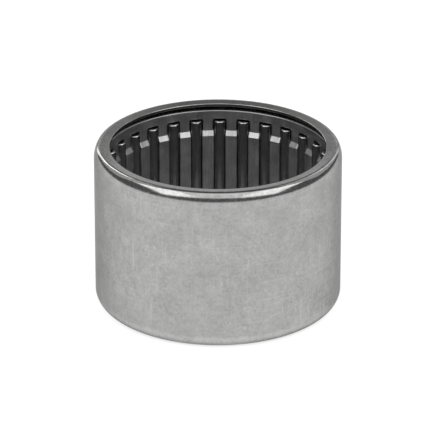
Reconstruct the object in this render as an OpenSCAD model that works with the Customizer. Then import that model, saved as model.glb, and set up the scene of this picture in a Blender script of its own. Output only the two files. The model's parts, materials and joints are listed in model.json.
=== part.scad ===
// Caged drawn-cup needle roller bearing, open at both ends.
// The axis is +Z and the origin is the centre of the lower face, so the bearing stands on the XY plane.
// One thin drawn cup holds a stamped, stepped cage whose pockets carry the needle rollers.

/* [Bearing] */
// Outside diameter of the cup, the size of the housing bore
outer_d = 52; // [51.6:0.1:52.4]
// Width of the cup along the axis
width = 35; // [32:0.5:60]
// Diameter of the shaft that the needle rollers run on
shaft_d = 45; // [44.6:0.1:45.1]

/* [Cup] */
// Outside radius of the drawn bend at the lower end
drawn_bend_r = 2.7; // [2.2:0.1:2.8]
// Outside radius of the rolled bend at the upper end
rolled_bend_r = 1.9; // [1.4:0.1:2.2]
// Thickness of the inward lips at both ends
lip_t = 0.9; // [0.7:0.05:1.1]
// Radial gap between the shaft and the opening in each lip
lip_gap = 0.15; // [0.1:0.05:0.3]

/* [Needle rollers] */
// Number of needle rollers
roller_count = 29; // [20:1:29]
// Diameter of one needle roller
roller_d = 2.5; // [2.4:0.05:2.5]
// Radius of the rounding on the ends of a needle roller
roller_edge_r = 0.3; // [0.2:0.05:0.9]
// Radial clearance between the shaft and the ring of rollers
shaft_gap = 0.01; // [0.01:0.005:0.03]
// Radial clearance between the rollers and the cup's raceway
raceway_gap = 0.02; // [0.01:0.005:0.03]

/* [Cage] */
// Thickness of the cage sheet, measured along the radius
sheet_t = 0.75; // [0.65:0.05:0.8]
// Height of the plain rim at each end of the cage
rim_h = 2; // [1.5:0.1:2.1]
// Distance by which the inside of the rims stands inward of the rollers' pitch circle
rim_inset = 0.28; // [0.2:0.02:0.36]
// Distance by which the inside of the bars' middle stretch stands inward of the pitch circle
bar_inset = 0.93; // [0.86:0.01:0.94]
// Distance from the cage's end to the top of the step in each bar
step_start = 4.7; // [4:0.1:6]
// Length of the step along the axis
step_l = 1.05; // [0.8:0.05:1.5]
// Width of a pocket between the bar ends
pocket_w = 3; // [2.8:0.05:3]
// Width of a pocket at the inside face of the middle stretch
window_w = 2.6; // [2.5:0.05:2.6]
// Width of a pocket between the two lands that stop a roller from falling inward
land_w = 2.36; // [2.34:0.02:2.4]

/* [Hidden] */

// Gaps under and over the cage, which rests low, against the drawn bend
cage_low_gap = 0.4;
cage_high_gap = 1.1;
// Gaps under and over a roller, which rests low in its pocket
roller_low_gap = 0.05;
roller_high_gap = 0.35;
// Smallest inside radius of a bend in the cup
sharp_bend_r = 0.2;
// Rounding of the lips' edges and of the cage's ends
lip_edge_r = 0.2;
cage_edge_r = 0.3;
// Depth of the lands below the inside face of a bar, and of the flare of the pocket behind them
land_depth = 0.3;
flare_depth = 0.35;
// Width of a pocket behind the flare
back_w = 2.7;
// Plain stretch of a bar between the wide end of a pocket and the step
bend_land = 0.2;
// How far a cutting shape runs past the face that it opens
cut_over = 1;

outer_r = outer_d / 2;
roller_r = roller_d / 2;
pitch_r = shaft_d / 2 + shaft_gap + roller_r;
raceway_r = pitch_r + roller_r + raceway_gap;
lip_r = shaft_d / 2 + lip_gap;
cup_wall = outer_r - raceway_r;
rim_r = pitch_r - rim_inset;
bar_r = pitch_r - bar_inset;

cage_z = lip_t + cage_low_gap;
cage_l = width - 2 * lip_t - cage_low_gap - cage_high_gap;
pocket_z = cage_z + rim_h;
pocket_l = cage_l - 2 * rim_h;
roller_z = pocket_z + roller_low_gap;
roller_l = pocket_l - roller_low_gap - roller_high_gap;
roller_pitch = 360 / roller_count;

smooth = 256;
edge_smooth = 48;

function inside_bend(r) = max(r - cup_wall, sharp_bend_r);
function roller_name(i) = str("needle_roller_", i < 10 ? "0" : "", i);

// A rectangle from corner low to corner high, with one radius for its lower corners and one for its upper.
module rounded_box_2d(low, high, low_r, high_r) {
    size = high - low;
    translate([low.x + low_r, low.y]) square([size.x - 2 * low_r, low_r]);
    translate([low.x, low.y + low_r]) square([size.x, size.y - low_r - high_r]);
    translate([low.x + high_r, high.y - high_r]) square([size.x - 2 * high_r, high_r]);
    for (x = [low.x + low_r, high.x - low_r])
        translate([x, low.y + low_r]) circle(low_r, $fn = edge_smooth);
    for (x = [low.x + high_r, high.x - high_r])
        translate([x, high.y - high_r]) circle(high_r, $fn = edge_smooth);
}

// Half of the cup's section, a sheet of even thickness: the wall, the two bends and the two lips.
module cup_section() {
    tip_x = lip_r + lip_edge_r;
    difference() {
        rounded_box_2d([-outer_r, 0], [outer_r, width], drawn_bend_r, rolled_bend_r);
        rounded_box_2d(
            [-raceway_r, lip_t], [raceway_r, width - lip_t],
            inside_bend(drawn_bend_r), inside_bend(rolled_bend_r)
        );
        translate([-outer_r - cut_over, -cut_over])
            square([outer_r + cut_over + tip_x, width + 2 * cut_over]);
    }
    for (z = [0, width - lip_t])
        rounded_box_2d([lip_r, z], [lip_r + 3 * lip_edge_r, z + lip_t], lip_edge_r, lip_edge_r);
}

module outer_cup() {
    color("silver") rotate_extrude($fn = smooth) cup_section();
}

// Half of the cage's section: a stepped sheet with its rims on the larger radius.
module cage_section() {
    end_z = cage_z + cage_l;
    low_step = cage_z + step_start;
    high_step = end_z - step_start;
    difference() {
        polygon([
            [rim_r, cage_z],
            [rim_r, low_step],
            [bar_r, low_step + step_l],
            [bar_r, high_step - step_l],
            [rim_r, high_step],
            [rim_r, end_z],
            [rim_r + sheet_t, end_z],
            [rim_r + sheet_t, high_step],
            [bar_r + sheet_t, high_step - step_l],
            [bar_r + sheet_t, low_step + step_l],
            [rim_r + sheet_t, low_step],
            [rim_r + sheet_t, cage_z]
        ]);
        translate([rim_r, cage_z]) end_trim();
        translate([rim_r, end_z]) mirror([0, 1]) end_trim();
        translate([rim_r + sheet_t, cage_z]) mirror([1, 0]) end_trim();
        translate([rim_r + sheet_t, end_z]) rotate(180) end_trim();
    }
}

// What comes off a corner that stands at the origin, to round it.
module end_trim() {
    difference() {
        translate([-cage_edge_r, -cage_edge_r]) square(2 * cage_edge_r);
        translate([cage_edge_r, cage_edge_r]) circle(cage_edge_r, $fn = edge_smooth);
    }
}

// Plan of a pocket along the middle of the bars: a roller drops in from outside and stops on the lands.
module window_plan() {
    reach = rim_r + sheet_t + cut_over;
    land_x = bar_r + land_depth;
    back_x = land_x + flare_depth;
    polygon([
        [bar_r - cut_over, -window_w / 2],
        [bar_r, -window_w / 2],
        [land_x, -land_w / 2],
        [back_x, -back_w / 2],
        [reach, -back_w / 2],
        [reach, back_w / 2],
        [back_x, back_w / 2],
        [land_x, land_w / 2],
        [bar_r, window_w / 2],
        [bar_r - cut_over, window_w / 2]
    ]);
}

// The space cut for one roller, on the +X side: the long window and its two wider ends.
module pocket_cut() {
    end_l = step_start - rim_h - bend_land;
    translate([0, 0, pocket_z]) linear_extrude(pocket_l) window_plan();
    for (z = [pocket_z, pocket_z + pocket_l - end_l])
        translate([bar_r - cut_over, -pocket_w / 2, z])
            cube([rim_r + sheet_t - bar_r + 2 * cut_over, pocket_w, end_l]);
}

module roller_cage() {
    color("dimgray") difference() {
        rotate(roller_pitch / 2) rotate_extrude($fn = smooth) cage_section();
        for (i = [1 : roller_count]) rotate((i - 1) * roller_pitch) pocket_cut();
    }
}

// Half of a roller's section, with both end edges rounded.
module roller_section() {
    intersection() {
        rounded_box_2d([-roller_r, 0], [roller_r, roller_l], roller_edge_r, roller_edge_r);
        square([roller_r, roller_l]);
    }
}

module needle_roller(i) {
    color("gray") rotate((i - 1) * roller_pitch) translate([pitch_r, 0, roller_z])
        rotate_extrude($fn = smooth) roller_section();
}

outer_cup();
roller_cage();
for (i = [1 : roller_count])
    needle_roller(i);
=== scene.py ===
"""Looks of the needle roller bearing: meshes for the cup, cage and rollers, steels, light and camera.

Lengths are in metres. The bearing stands on z = 0 with its axis on +Z.
"""

import json
import math

import bmesh
import bpy
from mathutils import Matrix, Vector


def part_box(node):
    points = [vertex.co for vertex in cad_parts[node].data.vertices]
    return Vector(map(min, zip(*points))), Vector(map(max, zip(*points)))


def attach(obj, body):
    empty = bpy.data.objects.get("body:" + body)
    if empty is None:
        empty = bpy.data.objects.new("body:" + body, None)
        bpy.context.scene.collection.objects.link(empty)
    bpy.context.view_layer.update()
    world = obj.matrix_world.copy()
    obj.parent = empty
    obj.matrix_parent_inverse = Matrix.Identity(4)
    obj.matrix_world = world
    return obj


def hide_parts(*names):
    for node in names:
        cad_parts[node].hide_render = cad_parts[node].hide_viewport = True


MM = 0.001
TURN = 2 * math.pi
WELD_DISTANCE = 1e-7

# Cup; the upper bend is slack up to BEND_CHANGE and tight after it. That and LIP_DISH are in degrees
CUP_SEGMENTS = 464
TIGHT_BEND_R = 1.2 * MM
SLACK_BEND_R = 4.0 * MM
BEND_CHANGE = 29
LIP_DISH = 5
LIP_THINNING = 0.25 * MM
LOWER_BEND_R = 2.7 * MM
LIP_THICKNESS = 0.9 * MM
LIP_EDGE_R = 0.2 * MM
SHARP_EDGE_R = 0.17 * MM
CUP_WALL = 0.97 * MM
BEND_STEPS = 14
EDGE_STEPS = 6
WALL_ROWS = 12
LIP_ROWS = 2
# A straight run gets a support row at this distance from each end, if it is longer than three of them
SUPPORT = 0.08 * MM
SHORTEST_RUN = 3 * SUPPORT
# A run longer than this is the wall
WALL_RUN = 20 * MM

# Cage
SHEET = 0.75 * MM
RIM_HEIGHT = 2.0 * MM
STEP_START = 4.7 * MM
STEP_LENGTH = 1.05 * MM
STEP_SOFTNESS = 0.1 * MM
BAR_DROP = 0.65 * MM
RIM_EDGE_R = 0.3 * MM
POCKET_HALF = 1.5 * MM
POCKET_CORNER_R = 0.45 * MM
POCKET_BEVEL = 0.09 * MM
# Share of the bevel at the row that rounds it
BEVEL_MIDDLE = 0.3
WIDE_LENGTH = 2.5 * MM
NARROWING = 0.5 * MM
# Rows across the narrowing, as shares of its length
NARROWING_ROWS = (-0.1, 0, 0.25, 0.5, 0.75, 1)
WINDOW_HALF = 1.3 * MM
LAND_HALF = 1.18 * MM
BACK_HALF = 1.35 * MM
LAND_DEPTH = 0.3 * MM
FLARE_DEPTH = 0.35 * MM
BAR_COLUMNS = 8
POCKET_COLUMNS = 6
CORNER_STEPS = 5
RIM_ROWS = 2
BEND_ROWS = 5
MIDDLE_ROWS = 12

# Rollers
ROLLER_SEGMENTS = 48
ROLLER_EDGE_R = 0.3 * MM
ROLLER_EDGE_STEPS = 8
ROLLER_END_ROWS = 3
ROLLER_SIDE_ROWS = 8

# Steels; greys are the two ends of the tone's range, and a pair of heights is the stretch of a soft change
CUP_GREYS = ((0.325, 0.325, 0.322), (0.475, 0.475, 0.472))
CAGE_GREYS = ((0.385, 0.385, 0.385), (0.585, 0.585, 0.585))
ROLLER_GREYS = ((0.39, 0.39, 0.395), (0.53, 0.53, 0.535))
EDGE_TINT = (0.46, 0.46, 0.46, 1)
GRAIN_DEPTH = 0.006 * MM
GRINDING_DEPTH = 0.003 * MM
CUP_TEXTURE_R = 26 * MM
CAGE_TEXTURE_R = 23 * MM
UPPER_RUB = (32.2 * MM, 33.6 * MM)
LOWER_RUB = (0.4 * MM, 2.2 * MM)
# Stretches of a lighter band low on the cup, a painted reflection of the bright table
PAINTED_BAND_FOOT = (1.3 * MM, 1.9 * MM)
PAINTED_BAND_TOP = (2.4 * MM, 2.9 * MM)
# The range that a noise mostly keeps to
NOISE_LOW = 0.3
NOISE_HIGH = 0.7

# Floor; it glows evenly as a bright table, and only faintly in the spot that the bearing covers, which is
# painted shade for the bearing's inside
FLOOR_HALF = 1.6
FLOOR_COLOUR = (0.3, 0.3, 0.3, 1)
SHADED_SPOT_R = 22 * MM
GLOW_R = 25 * MM
SHADED_SPOT_GLOW = 0.06
FLOOR_GLOW = 0.8

# Camera; angles in radians, lens and sensor in millimetres
FAR_ANGLE = math.radians(87.81)
CAMERA_ELEVATION = 0.4232
CAMERA_DISTANCE = 0.8047
CAMERA_LENS = 315.7
CAMERA_SENSOR = 36
AIM_HEIGHT = 18.24 * MM
AIM_RIGHT = -0.1 * MM

# Light, round a point inside the bearing; the far side is the side of the bearing away from the camera
LIT_HEIGHT = 25 * MM
KEY_LEAN = math.radians(30)
KEY_DISTANCE = 0.6
KEY_DEPTH = 0.9
# (name, distance to the right, width, radiance)
KEYS = (
    ("left key", -0.55, 0.62, 1.95),
    ("middle key", 0, 0.5, 1.1),
    ("right key", 0.6, 0.72, 1.95),
)
# (name, distance away, height above the point, depth, radiance)
FAR_BOXES = (
    ("far low soft box", 1.1, 0.2, 0.36, 0.85),
    ("far high soft box", 0.9, 0.43, 0.24, 0.36),
)
FAR_BOX_WIDTH = 0.9
SHOULDER_ANGLE = math.radians(56)
SHOULDER_LIFT = math.radians(38)
SHOULDER_DISTANCE = 0.9
SHOULDER_SIDE = 0.75
SHOULDER_RADIANCE = 0.5
STRIP_ANGLE = math.radians(30)
STRIP_LIFT = math.radians(23)
STRIP_WIDTH = 0.16
STRIP_DEPTH = 0.82
# (name, side, radiance)
STRIPS = (("left strip", -1, 3.0), ("right strip", 1, 1.2))
ROOM_COLOUR = (0.14, 0.14, 0.14, 1)

FAR = Vector((math.cos(FAR_ANGLE), math.sin(FAR_ANGLE), 0))
RIGHT = Vector((math.sin(FAR_ANGLE), -math.cos(FAR_ANGLE), 0))
UP = Vector((0, 0, 1))


# ---------------------------------------------------------------- meshes


def arc(centre, radius, start, end, steps):
    """Points of an arc in the (r, z) plane. Angles are in degrees from the outward direction."""
    points = []
    for k in range(steps + 1):
        a = math.radians(start + (end - start) * k / steps)
        points.append((centre[0] + radius * math.cos(a), centre[1] + radius * math.sin(a)))
    return points


def straight(start, end, rows=1):
    """Points between two ends, without the ends, and with a support row close to each."""
    a, b = Vector(start), Vector(end)
    length = (b - a).length
    shares = [SUPPORT / length] + [k / rows for k in range(1, rows)] + [1 - SUPPORT / length]
    return [tuple(a.lerp(b, t)) for t in shares]


def joined(*runs):
    """One closed profile from arcs, with supported straight runs between them."""
    profile = []
    for k, run in enumerate(runs):
        following = runs[(k + 1) % len(runs)][0]
        profile += run
        gap = (Vector(following) - Vector(run[-1])).length
        if gap > SHORTEST_RUN:
            rows = WALL_ROWS if gap > WALL_RUN else LIP_ROWS
            profile += straight(run[-1], following, rows)
    return profile


def grid_faces(bm, rows, closed=False):
    """Quads between rows of points. A closed row joins its last point to its first."""
    made = [[bm.verts.new(p) for p in row] for row in rows]
    for low, high in zip(made, made[1:]):
        count = len(low)
        for j in range(count if closed else count - 1):
            n = (j + 1) % count
            bm.faces.new((low[j], low[n], high[n], high[j]))


def finish_mesh(bm, name):
    """Welds the patches, points the faces outward and makes the mesh."""
    bmesh.ops.remove_doubles(bm, verts=bm.verts, dist=WELD_DISTANCE)
    bmesh.ops.recalc_face_normals(bm, faces=bm.faces)
    for face in bm.faces:
        face.smooth = True
    mesh = bpy.data.meshes.new(name)
    bm.to_mesh(mesh)
    bm.free()
    return mesh


def add_object(name, mesh, matrix=None):
    """An object in the scene, with normals that follow its larger faces."""
    obj = bpy.data.objects.new(name, mesh)
    bpy.context.scene.collection.objects.link(obj)
    if matrix is not None:
        obj.matrix_world = matrix
    weighted = obj.modifiers.new("weighted normals", "WEIGHTED_NORMAL")
    weighted.keep_sharp = True
    return obj


def lathe(name, profile, segments):
    """A closed profile turned about Z. The seam and the points on the axis are welded."""
    bm = bmesh.new()
    rows = []
    for k in range(segments + 1):
        a = TURN * k / segments
        rows.append([(r * math.cos(a), r * math.sin(a), z) for r, z in profile])
    grid_faces(bm, rows, closed=True)
    return finish_mesh(bm, name)


# ---------------------------------------------------------------- cup


def rolled_bend(outer_r, height, inset):
    """Upper bend of the cup, slack at the wall and tight at the lip, this deep below the outside face."""
    change = math.radians(BEND_CHANGE)
    gap = SLACK_BEND_R - TIGHT_BEND_R
    tight = (outer_r - SLACK_BEND_R + gap * math.cos(change), height - TIGHT_BEND_R)
    slack = (outer_r - SLACK_BEND_R, tight[1] - gap * math.sin(change))
    run = arc(slack, SLACK_BEND_R - inset, 0, BEND_CHANGE, BEND_STEPS)
    return run + arc(tight, TIGHT_BEND_R - inset, BEND_CHANGE, 90 + LIP_DISH, BEND_STEPS)[1:]


def cup_profile(outer_r, lip_r, height):
    """Section of the cup: wall, rolled bend, dished upper lip, raceway, lower lip, drawn bend."""
    race_r = outer_r - CUP_WALL
    lower_in = LOWER_BEND_R - CUP_WALL
    tip_r = lip_r + LIP_EDGE_R
    outside = rolled_bend(outer_r, height, 0)
    inside = rolled_bend(outer_r, height, CUP_WALL)
    slope = math.tan(math.radians(LIP_DISH))
    lip_top = outside[-1][1] - (outside[-1][0] - lip_r) * slope
    lip_under = inside[-1][1] - (inside[-1][0] - lip_r) * slope + LIP_THINNING
    return joined(
        outside,
        arc((lip_r + SHARP_EDGE_R, lip_top - SHARP_EDGE_R), SHARP_EDGE_R, 90 + LIP_DISH, 180, EDGE_STEPS),
        arc((tip_r, lip_under + LIP_EDGE_R), LIP_EDGE_R, 180, 270 + LIP_DISH, EDGE_STEPS),
        inside[::-1],
        arc((race_r - lower_in, LIP_THICKNESS + lower_in), lower_in, 0, -90, BEND_STEPS),
        arc((tip_r, LIP_THICKNESS - LIP_EDGE_R), LIP_EDGE_R, 90, 180, EDGE_STEPS),
        arc((tip_r, LIP_EDGE_R), LIP_EDGE_R, 180, 270, EDGE_STEPS),
        arc((outer_r - LOWER_BEND_R, LOWER_BEND_R), LOWER_BEND_R, -90, 0, BEND_STEPS),
    )


# ---------------------------------------------------------------- cage


def smooth_share(t):
    """Goes from 0 to 1 with a soft start and a soft end."""
    t = min(max(t, 0.0), 1.0)
    return t * t * (3 - 2 * t)


def rounded_ramp(x, length, softness):
    """Goes from 0 to 1 over a length, with its two corners rounded over a softness on each side."""

    def hinge(t):
        if abs(t) >= softness:
            return max(t, 0.0)
        return (t + softness) ** 2 / (4 * softness)

    return (hinge(x) - hinge(x - length)) / length


def window_half(r, bar_r):
    """Half width of the long part of a pocket: a mouth, two lands that stop the roller, and a flare."""
    land_r = bar_r + LAND_DEPTH
    if r <= land_r:
        share = max(0.0, (r - bar_r) / LAND_DEPTH)
        return WINDOW_HALF + (LAND_HALF - WINDOW_HALF) * share
    return LAND_HALF + (BACK_HALF - LAND_HALF) * min(1.0, (r - land_r) / FLARE_DEPTH)


class Cage:
    """Builds the cage's mesh sector by sector. Heights are counted from the cage's own end."""

    def __init__(self, low, high, outer_r, count):
        self.low, self.high, self.count = low, high, count
        self.rim_r = outer_r - SHEET
        self.bar_r = self.rim_r - BAR_DROP
        self.pitch = TURN / count
        self.end_half = POCKET_HALF - POCKET_CORNER_R
        # (depth into the sheet, inset of the pocket's edge) from the inside face to the outside face
        self.levels = (
            (0.0, POCKET_BEVEL),
            (BEVEL_MIDDLE * POCKET_BEVEL, BEVEL_MIDDLE * POCKET_BEVEL),
            (POCKET_BEVEL, 0.0),
            (LAND_DEPTH, 0.0),
            (LAND_DEPTH + 0.5 * FLARE_DEPTH, 0.0),
            (SHEET - POCKET_BEVEL, 0.0),
            (SHEET - BEVEL_MIDDLE * POCKET_BEVEL, BEVEL_MIDDLE * POCKET_BEVEL),
            (SHEET, POCKET_BEVEL),
        )

    def inside_r(self, h):
        """Inside radius of the sheet at height h above the end."""
        return self.rim_r - BAR_DROP * rounded_ramp(h - STEP_START, STEP_LENGTH, STEP_SOFTNESS)

    def half_width(self, h, r):
        """Half width of a pocket at height h above the end, at radius r."""
        start = RIM_HEIGHT + WIDE_LENGTH - NARROWING / 2
        share = smooth_share((h - start) / NARROWING)
        return POCKET_HALF + (window_half(r, self.bar_r) - POCKET_HALF) * share

    def rows(self):
        """Rows from a pocket's end to its middle: (height, width lost to the corner, normal x, normal z)."""
        found = []
        for k in range(CORNER_STEPS + 1):
            a = math.pi / 2 * k / CORNER_STEPS
            h = RIM_HEIGHT + POCKET_CORNER_R * (1 - math.cos(a))
            found.append((h, POCKET_CORNER_R * (1 - math.sin(a)), math.sin(a), -math.cos(a)))
        narrow = RIM_HEIGHT + WIDE_LENGTH
        heights = [narrow + NARROWING * (t - 0.5) for t in NARROWING_ROWS]
        start, end = STEP_START - STEP_SOFTNESS, STEP_START + STEP_LENGTH + STEP_SOFTNESS
        heights += [start + 2 * STEP_SOFTNESS * k / BEND_ROWS for k in range(BEND_ROWS)]
        heights += [end - 2 * STEP_SOFTNESS * k / BEND_ROWS for k in range(BEND_ROWS + 1)]
        middle = (self.high - self.low) / 2
        heights += [end + (middle - end) * k / MIDDLE_ROWS for k in range(1, MIDDLE_ROWS + 1)]
        found += [(h, 0.0, 1.0, 0.0) for h in sorted(heights)]
        return found

    def wall_point(self, row, level):
        """(half width, height, radius) of a pocket's edge at one row and one level of the sheet."""
        h, corner, nx, nz = row
        depth, inset = level
        r = self.inside_r(h) + depth
        return self.half_width(h, r) - corner + inset * nx, h + inset * nz, r

    def place(self, angle, r, h, upper):
        """A point of the lower half or, mirrored, of the upper half."""
        z = self.high - h if upper else self.low + h
        return (r * math.cos(angle), r * math.sin(angle), z)

    def bar_points(self, sector, a, r, h, upper):
        """Points across the bar after the sector's pocket, whose edges lie at angle a from its middle."""
        first, span = sector * self.pitch + a, self.pitch - 2 * a
        return [self.place(first + span * j / BAR_COLUMNS, r, h, upper) for j in range(BAR_COLUMNS + 1)]

    def bar_row(self, sector, row, level, upper):
        """One row across the bar that follows the sector's pocket."""
        half, h, r = self.wall_point(row, level)
        return self.bar_points(sector, math.asin(half / r), r, h, upper)

    def pocket_row(self, sector, r, h, upper):
        """One row across the end of the sector's pocket."""
        points = []
        for j in range(POCKET_COLUMNS + 1):
            x = self.end_half * (2 * j / POCKET_COLUMNS - 1)
            points.append(self.place(sector * self.pitch + math.asin(x / r), r, h, upper))
        return points

    def rim_profile(self):
        """(radius, height) from the pocket's end down the inside, round the free end and up the outside."""
        inner, outer = self.rim_r, self.rim_r + SHEET
        edge = RIM_HEIGHT - POCKET_BEVEL
        turn_in = arc((inner + RIM_EDGE_R, RIM_EDGE_R), RIM_EDGE_R, 180, 270, EDGE_STEPS)
        turn_out = arc((outer - RIM_EDGE_R, RIM_EDGE_R), RIM_EDGE_R, 270, 360, EDGE_STEPS)
        down = straight((inner, edge), turn_in[0], RIM_ROWS)
        up = straight(turn_out[-1], (outer, edge), RIM_ROWS)
        return [(inner, edge)] + down + turn_in + turn_out + up + [(outer, edge)]

    def rim(self, bm, sector, upper):
        """The rim's stretches beside and behind the sector's pocket, and the pocket's end wall."""
        end_row = self.rows()[0]
        bars, pockets = [], []
        for r, h in self.rim_profile():
            a = math.asin(self.end_half / r)
            bars.append(self.bar_points(sector, a, r, h, upper))
            pockets.append(self.pocket_row(sector, r, h, upper))
        grid_faces(bm, bars)
        grid_faces(bm, pockets)
        wall = []
        for level in self.levels:
            h, r = self.wall_point(end_row, level)[1:]
            wall.append(self.pocket_row(sector, r, h, upper))
        grid_faces(bm, wall)

    def bar(self, bm, sector, upper):
        """Half the length of one bar: its two faces, and its two sides, which are the pockets' walls."""
        rows = self.rows()
        for level in (self.levels[0], self.levels[-1]):
            grid_faces(bm, [self.bar_row(sector, row, level, upper) for row in rows])
        for side in (0, -1):
            wall = []
            for row in rows:
                wall.append([self.bar_row(sector, row, level, upper)[side] for level in self.levels])
            grid_faces(bm, wall)

    def mesh(self, name):
        bm = bmesh.new()
        for sector in range(self.count):
            for upper in (False, True):
                self.rim(bm, sector, upper)
                self.bar(bm, sector, upper)
        return finish_mesh(bm, name)


# ---------------------------------------------------------------- rollers


def roller_profile(radius, length):
    """Section of a roller from the middle of its lower end to the middle of its upper end."""
    flat_r = radius - ROLLER_EDGE_R
    low = arc((flat_r, ROLLER_EDGE_R), ROLLER_EDGE_R, -90, 0, ROLLER_EDGE_STEPS)
    high = arc((flat_r, length - ROLLER_EDGE_R), ROLLER_EDGE_R, 0, 90, ROLLER_EDGE_STEPS)
    profile = [(0.0, 0.0)] + straight((0.0, 0.0), low[0], ROLLER_END_ROWS) + low
    profile += straight(low[-1], high[0], ROLLER_SIDE_ROWS) + high
    return profile + straight(high[-1], (0.0, length), ROLLER_END_ROWS) + [(0.0, length)]


# ---------------------------------------------------------------- materials


class Nodes:
    """Shorthand for building a node tree."""

    def __init__(self, tree):
        self.tree = tree
        tree.nodes.clear()

    def add(self, kind, inputs=None, **settings):
        """A node whose inputs are linked to sockets or set to values."""
        node = self.tree.nodes.new(kind)
        for key, value in settings.items():
            setattr(node, key, value)
        for key, value in (inputs or {}).items():
            if isinstance(value, bpy.types.NodeSocket):
                self.tree.links.new(value, node.inputs[key])
            else:
                node.inputs[key].default_value = value
        return node

    def math(self, operation, a, b=0.0):
        return self.add("ShaderNodeMath", {0: a, 1: b}, operation=operation).outputs[0]

    def noise(self, vector, scale, detail=2.0, rough=0.5):
        node = self.add(
            "ShaderNodeTexNoise",
            {"Vector": vector, "Scale": scale, "Detail": detail, "Roughness": rough},
        )
        return node.outputs["Fac"]

    def span(self, value, low, high, to_low, to_high, smooth=False):
        """Maps low..high to to_low..to_high, clamped."""
        node = self.add(
            "ShaderNodeMapRange",
            {"Value": value, "From Min": low, "From Max": high, "To Min": to_low, "To Max": to_high},
            interpolation_type="SMOOTHSTEP" if smooth else "LINEAR",
        )
        return node.outputs["Result"]

    def swing(self, noise, low, high):
        """Maps the usual range of a noise to low..high."""
        return self.span(noise, NOISE_LOW, NOISE_HIGH, low, high)

    def total(self, first, *others):
        """Sum of sockets or values."""
        for other in others:
            first = self.math("ADD", first, other)
        return first

    def times(self, a, b):
        return self.math("MULTIPLY", a, b)

    def stretched(self, vector, scale):
        node = self.add("ShaderNodeMapping", {"Vector": vector, "Scale": scale})
        return node.outputs["Vector"]


def distance(n, x, y):
    """Distance from the axis."""
    return n.math("SQRT", n.total(n.times(x, x), n.times(y, y)))


def round_coordinates(n, radius):
    """The place, the place unrolled (distance round the axis, height, radius) and the height."""
    place = n.add("ShaderNodeTexCoord").outputs["Object"]
    part = n.add("ShaderNodeSeparateXYZ", {"Vector": place})
    x, y, z = part.outputs
    angle = n.math("ARCTAN2", y, x)
    around = n.times(angle, radius)
    unrolled = n.add("ShaderNodeCombineXYZ", {"X": around, "Y": z, "Z": distance(n, x, y)}).outputs[0]
    return place, unrolled, z


def grey_between(n, share, greys):
    """The grey at this share of the way from the dark one to the light one."""
    dark, light = greys
    node = n.add("ShaderNodeMix", {"Factor": share}, data_type="RGBA", clamp_factor=True)
    node.inputs[6].default_value = (*dark, 1)
    node.inputs[7].default_value = (*light, 1)
    return node.outputs[2]


def finish_steel(n, colour, roughness, height, strength, depth):
    """A metal surface with this bump, dimmed where it is seen at a low angle."""
    bump = n.add("ShaderNodeBump", {"Height": height, "Strength": strength, "Distance": depth})
    shader = n.add(
        "ShaderNodeBsdfPrincipled",
        {
            "Base Color": colour,
            "Roughness": roughness,
            "Metallic": 1.0,
            "Specular Tint": EDGE_TINT,
            "Normal": bump.outputs["Normal"],
        },
    )
    n.add("ShaderNodeOutputMaterial", {"Surface": shader.outputs["BSDF"]})


def new_material(name):
    material = bpy.data.materials.new(name)
    material.use_nodes = True
    return material, Nodes(material.node_tree)


def cup_material():
    """Tumbled satin steel: mottling, light flecks, fine scratches, smoother bends, and a lighter low band
    that is a painted reflection of the bright table.
    """
    material, n = new_material("cup satin steel")
    place, unrolled, z = round_coordinates(n, CUP_TEXTURE_R)
    cloud = n.noise(place, 160, detail=3.0, rough=0.55)
    patch = n.noise(place, 620)
    grain = n.noise(place, 1700, detail=3.0, rough=0.6)
    fleck = n.span(n.noise(place, 1900, detail=1.0), 0.62, 0.74, 0, 1)
    hoop = n.noise(n.stretched(unrolled, (40, 5200, 900)), 1.0)
    drag = n.noise(n.stretched(unrolled, (4200, 90, 900)), 1.0)
    scratch = n.span(n.math("MAXIMUM", hoop, drag), 0.62, 0.72, 0, 1)
    cluster = n.span(n.noise(place, 75, detail=1.0), 0.42, 0.62, 0.3, 1.0)
    worn = n.times(cluster, n.math("MAXIMUM", fleck, scratch))
    # Painted reflection: a lighter band on the lower bend, where it would mirror the bright table
    painted_reflection_band = n.times(n.span(z, *PAINTED_BAND_FOOT, 0, 1, True), n.span(z, *PAINTED_BAND_TOP, 1, 0, True))
    rubbed = n.math("MAXIMUM", n.span(z, *UPPER_RUB, 0, 1, True), n.span(z, *LOWER_RUB, 1, 0, True))
    tone = n.total(
        n.swing(cloud, 0.17, 0.53),
        n.span(grain, 0.25, 0.75, -0.38, 0.38),
        n.swing(patch, -0.16, 0.16),
        n.times(worn, 0.6),
        n.times(rubbed, 0.05),
        n.times(painted_reflection_band, 0.4),
    )
    colour = grey_between(n, tone, CUP_GREYS)
    roughness = n.total(n.swing(grain, 0.27, 0.36), n.times(rubbed, -0.15))
    height = n.total(grain, n.times(scratch, 0.5))
    strength = n.span(rubbed, 0, 1, 0.3, 0.08)
    finish_steel(n, colour, roughness, height, strength, GRAIN_DEPTH)
    return material


def cage_material():
    """Stamped cage sheet: dark oiled steel with rolling marks along the bars."""
    material, n = new_material("cage sheet steel")
    place, unrolled = round_coordinates(n, CAGE_TEXTURE_R)[:2]
    cloud = n.noise(place, 420, detail=3.0, rough=0.55)
    grain = n.noise(place, 2400)
    lines = n.noise(n.stretched(unrolled, (6000, 150, 900)), 1.0)
    tone = n.total(n.swing(cloud, 0.2, 0.7), n.swing(lines, -0.25, 0.25), n.swing(grain, -0.15, 0.15))
    colour = grey_between(n, tone, CAGE_GREYS)
    roughness = n.swing(cloud, 0.36, 0.46)
    height = n.total(n.times(lines, 0.6), n.times(grain, 0.4))
    finish_steel(n, colour, roughness, height, strength=0.3, depth=GRAIN_DEPTH)
    return material


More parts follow.
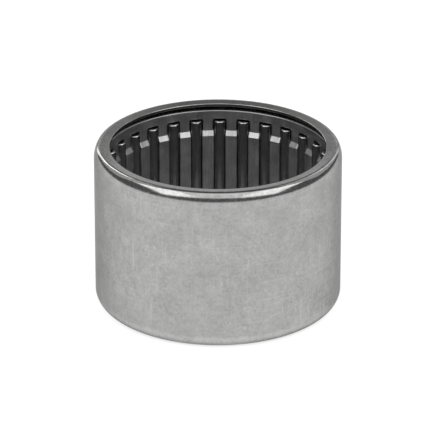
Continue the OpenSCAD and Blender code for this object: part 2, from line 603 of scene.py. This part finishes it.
def roller_material():
    """Ground and polished bearing steel, slightly different from roller to roller."""
    material, n = new_material("roller ground steel")
    place = n.add("ShaderNodeTexCoord").outputs["Object"]
    own = n.add("ShaderNodeObjectInfo").outputs["Random"]
    shift = n.add("ShaderNodeCombineXYZ", {"X": own, "Y": own, "Z": own}).outputs[0]
    moved = n.add("ShaderNodeVectorMath", {0: place, 1: shift}, operation="ADD").outputs[0]
    rings = n.noise(n.stretched(moved, (300, 300, 7000)), 1.0)
    cloud = n.noise(moved, 700)
    tone = n.total(n.swing(cloud, 0.2, 0.7), n.swing(rings, -0.2, 0.2))
    colour = grey_between(n, tone, ROLLER_GREYS)
    roughness = n.swing(rings, 0.12, 0.2)
    finish_steel(n, colour, roughness, rings, strength=0.15, depth=GRINDING_DEPTH)
    return material


def floor_material():
    """Plain white table that glows, and only faintly where the bearing covers it: that dim spot is painted
    shade.
    """
    material, n = new_material("white table")
    part = n.add("ShaderNodeSeparateXYZ", {"Vector": n.add("ShaderNodeTexCoord").outputs["Object"]})
    x, y = part.outputs[0], part.outputs[1]
    # Painted shade: the glow drops to a faint level under the bearing, where its inside would be in shadow
    glow = n.span(distance(n, x, y), SHADED_SPOT_R, GLOW_R, SHADED_SPOT_GLOW, FLOOR_GLOW, True)
    shader = n.add(
        "ShaderNodeBsdfPrincipled",
        {
            "Base Color": FLOOR_COLOUR,
            "Roughness": 0.9,
            "Specular IOR Level": 0.0,
            "Emission Color": (1, 1, 1, 1),
            "Emission Strength": glow,
        },
    )
    n.add("ShaderNodeOutputMaterial", {"Surface": shader.outputs["BSDF"]})
    return material


# ---------------------------------------------------------------- pieces


def dress(obj, material, nodes, body):
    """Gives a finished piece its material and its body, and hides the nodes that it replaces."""
    obj.data.materials.clear()
    obj.data.materials.append(material)
    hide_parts(*nodes)
    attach(obj, body)


def build_cup(record):
    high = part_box("outer_cup")[1]
    opening = next(m for m in record["mounts"] if m["name"] == "shaft_opening")
    profile = cup_profile(high.x, opening["dims"]["r_mm"] * MM, high.z)
    cup = add_object("cup_shell", lathe("cup_shell", profile, CUP_SEGMENTS))
    dress(cup, cup_material(), ["outer_cup"], "cup")


def build_cage(count):
    low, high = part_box("roller_cage")
    mesh = Cage(low.z, high.z, high.y, count).mesh("cage_sheet")
    cage = add_object("cage_sheet", mesh)
    dress(cage, cage_material(), ["roller_cage"], "cage")


def build_rollers(names):
    first_low, first_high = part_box(names[0])
    radius = (first_high.y - first_low.y) / 2
    mesh = lathe("roller", roller_profile(radius, first_high.z - first_low.z), ROLLER_SEGMENTS)
    steel = roller_material()
    for name in names:
        low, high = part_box(name)
        centre = (low + high) / 2
        place = Matrix.Translation((centre.x, centre.y, low.z))
        number = name.split("_")[-1]
        roller = add_object("roller_pin_" + number, mesh, place)
        dress(roller, steel, [name], "roller_" + number)


# ---------------------------------------------------------------- stage


def build_floor():
    bm = bmesh.new()
    corners = ((-1, -1), (1, -1), (1, 1), (-1, 1))
    bm.faces.new([bm.verts.new((x * FLOOR_HALF, y * FLOOR_HALF, 0)) for x, y in corners])
    mesh = bpy.data.meshes.new("floor")
    bm.to_mesh(mesh)
    bm.free()
    mesh.materials.append(floor_material())
    floor = bpy.data.objects.new("floor", mesh)
    bpy.context.scene.collection.objects.link(floor)


def aimed(obj, place, target):
    """Puts a light or a camera at a place, looking at a target."""
    obj.location = place
    obj.rotation_mode = "QUATERNION"
    obj.rotation_quaternion = (target - place).to_track_quat("-Z", "Y")
    bpy.context.scene.collection.objects.link(obj)


def soft_box(name, place, target, width, depth, radiance):
    """A rectangular soft light whose face has this radiance."""
    light = bpy.data.lights.new(name, "AREA")
    light.shape = "RECTANGLE"
    light.size, light.size_y = width, depth
    light.energy = radiance * math.pi * width * depth
    aimed(bpy.data.objects.new(name, light), place, target)


def off_far(side, angle, lift):
    """Direction at this angle to the left (side -1) or right (side 1) of FAR, lifted from the floor."""
    away = FAR * math.cos(angle) + RIGHT * side * math.sin(angle)
    return away * math.cos(lift) + UP * math.sin(lift)


def build_light():
    middle = Vector((0, 0, LIT_HEIGHT))
    key = UP * math.cos(KEY_LEAN) - FAR * math.sin(KEY_LEAN)
    for name, across, width, radiance in KEYS:
        target = middle + RIGHT * across
        soft_box(name, middle + key * KEY_DISTANCE + RIGHT * across, target, width, KEY_DEPTH, radiance)
    for name, away, height, depth, radiance in FAR_BOXES:
        soft_box(name, middle + FAR * away + UP * height, middle, FAR_BOX_WIDTH, depth, radiance)
    for name, side in (("left shoulder", -1), ("right shoulder", 1)):
        place = middle + off_far(side, SHOULDER_ANGLE, SHOULDER_LIFT) * SHOULDER_DISTANCE
        soft_box(name, place, middle, SHOULDER_SIDE, SHOULDER_SIDE, SHOULDER_RADIANCE)
    for name, side, radiance in STRIPS:
        place = middle + off_far(side, STRIP_ANGLE, STRIP_LIFT)
        soft_box(name, place, middle, STRIP_WIDTH, STRIP_DEPTH, radiance)
    world = bpy.data.worlds.new("room")
    bpy.context.scene.world = world
    world.use_nodes = True
    world.node_tree.nodes["Background"].inputs["Color"].default_value = ROOM_COLOUR


def build_camera():
    camera = bpy.data.cameras.new("camera")
    camera.lens = CAMERA_LENS
    camera.sensor_width = CAMERA_SENSOR
    obj = bpy.data.objects.new("camera", camera)
    target = RIGHT * AIM_RIGHT + UP * AIM_HEIGHT
    back = UP * math.sin(CAMERA_ELEVATION) - FAR * math.cos(CAMERA_ELEVATION)
    aimed(obj, target + back * CAMERA_DISTANCE, target)
    bpy.context.scene.camera = obj
    bpy.context.scene.view_settings.view_transform = "Standard"


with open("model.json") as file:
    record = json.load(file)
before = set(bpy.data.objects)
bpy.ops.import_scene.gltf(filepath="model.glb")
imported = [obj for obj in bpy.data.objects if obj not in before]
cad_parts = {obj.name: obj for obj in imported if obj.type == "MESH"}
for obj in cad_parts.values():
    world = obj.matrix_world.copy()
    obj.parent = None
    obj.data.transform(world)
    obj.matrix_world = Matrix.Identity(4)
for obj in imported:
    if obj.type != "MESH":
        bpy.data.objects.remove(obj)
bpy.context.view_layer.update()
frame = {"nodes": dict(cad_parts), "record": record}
roller_names = sorted(n for n in frame["nodes"] if n.startswith("needle_roller_"))
build_cup(frame["record"])
build_cage(len(roller_names))
build_rollers(roller_names)
build_floor()
build_light()
build_camera()
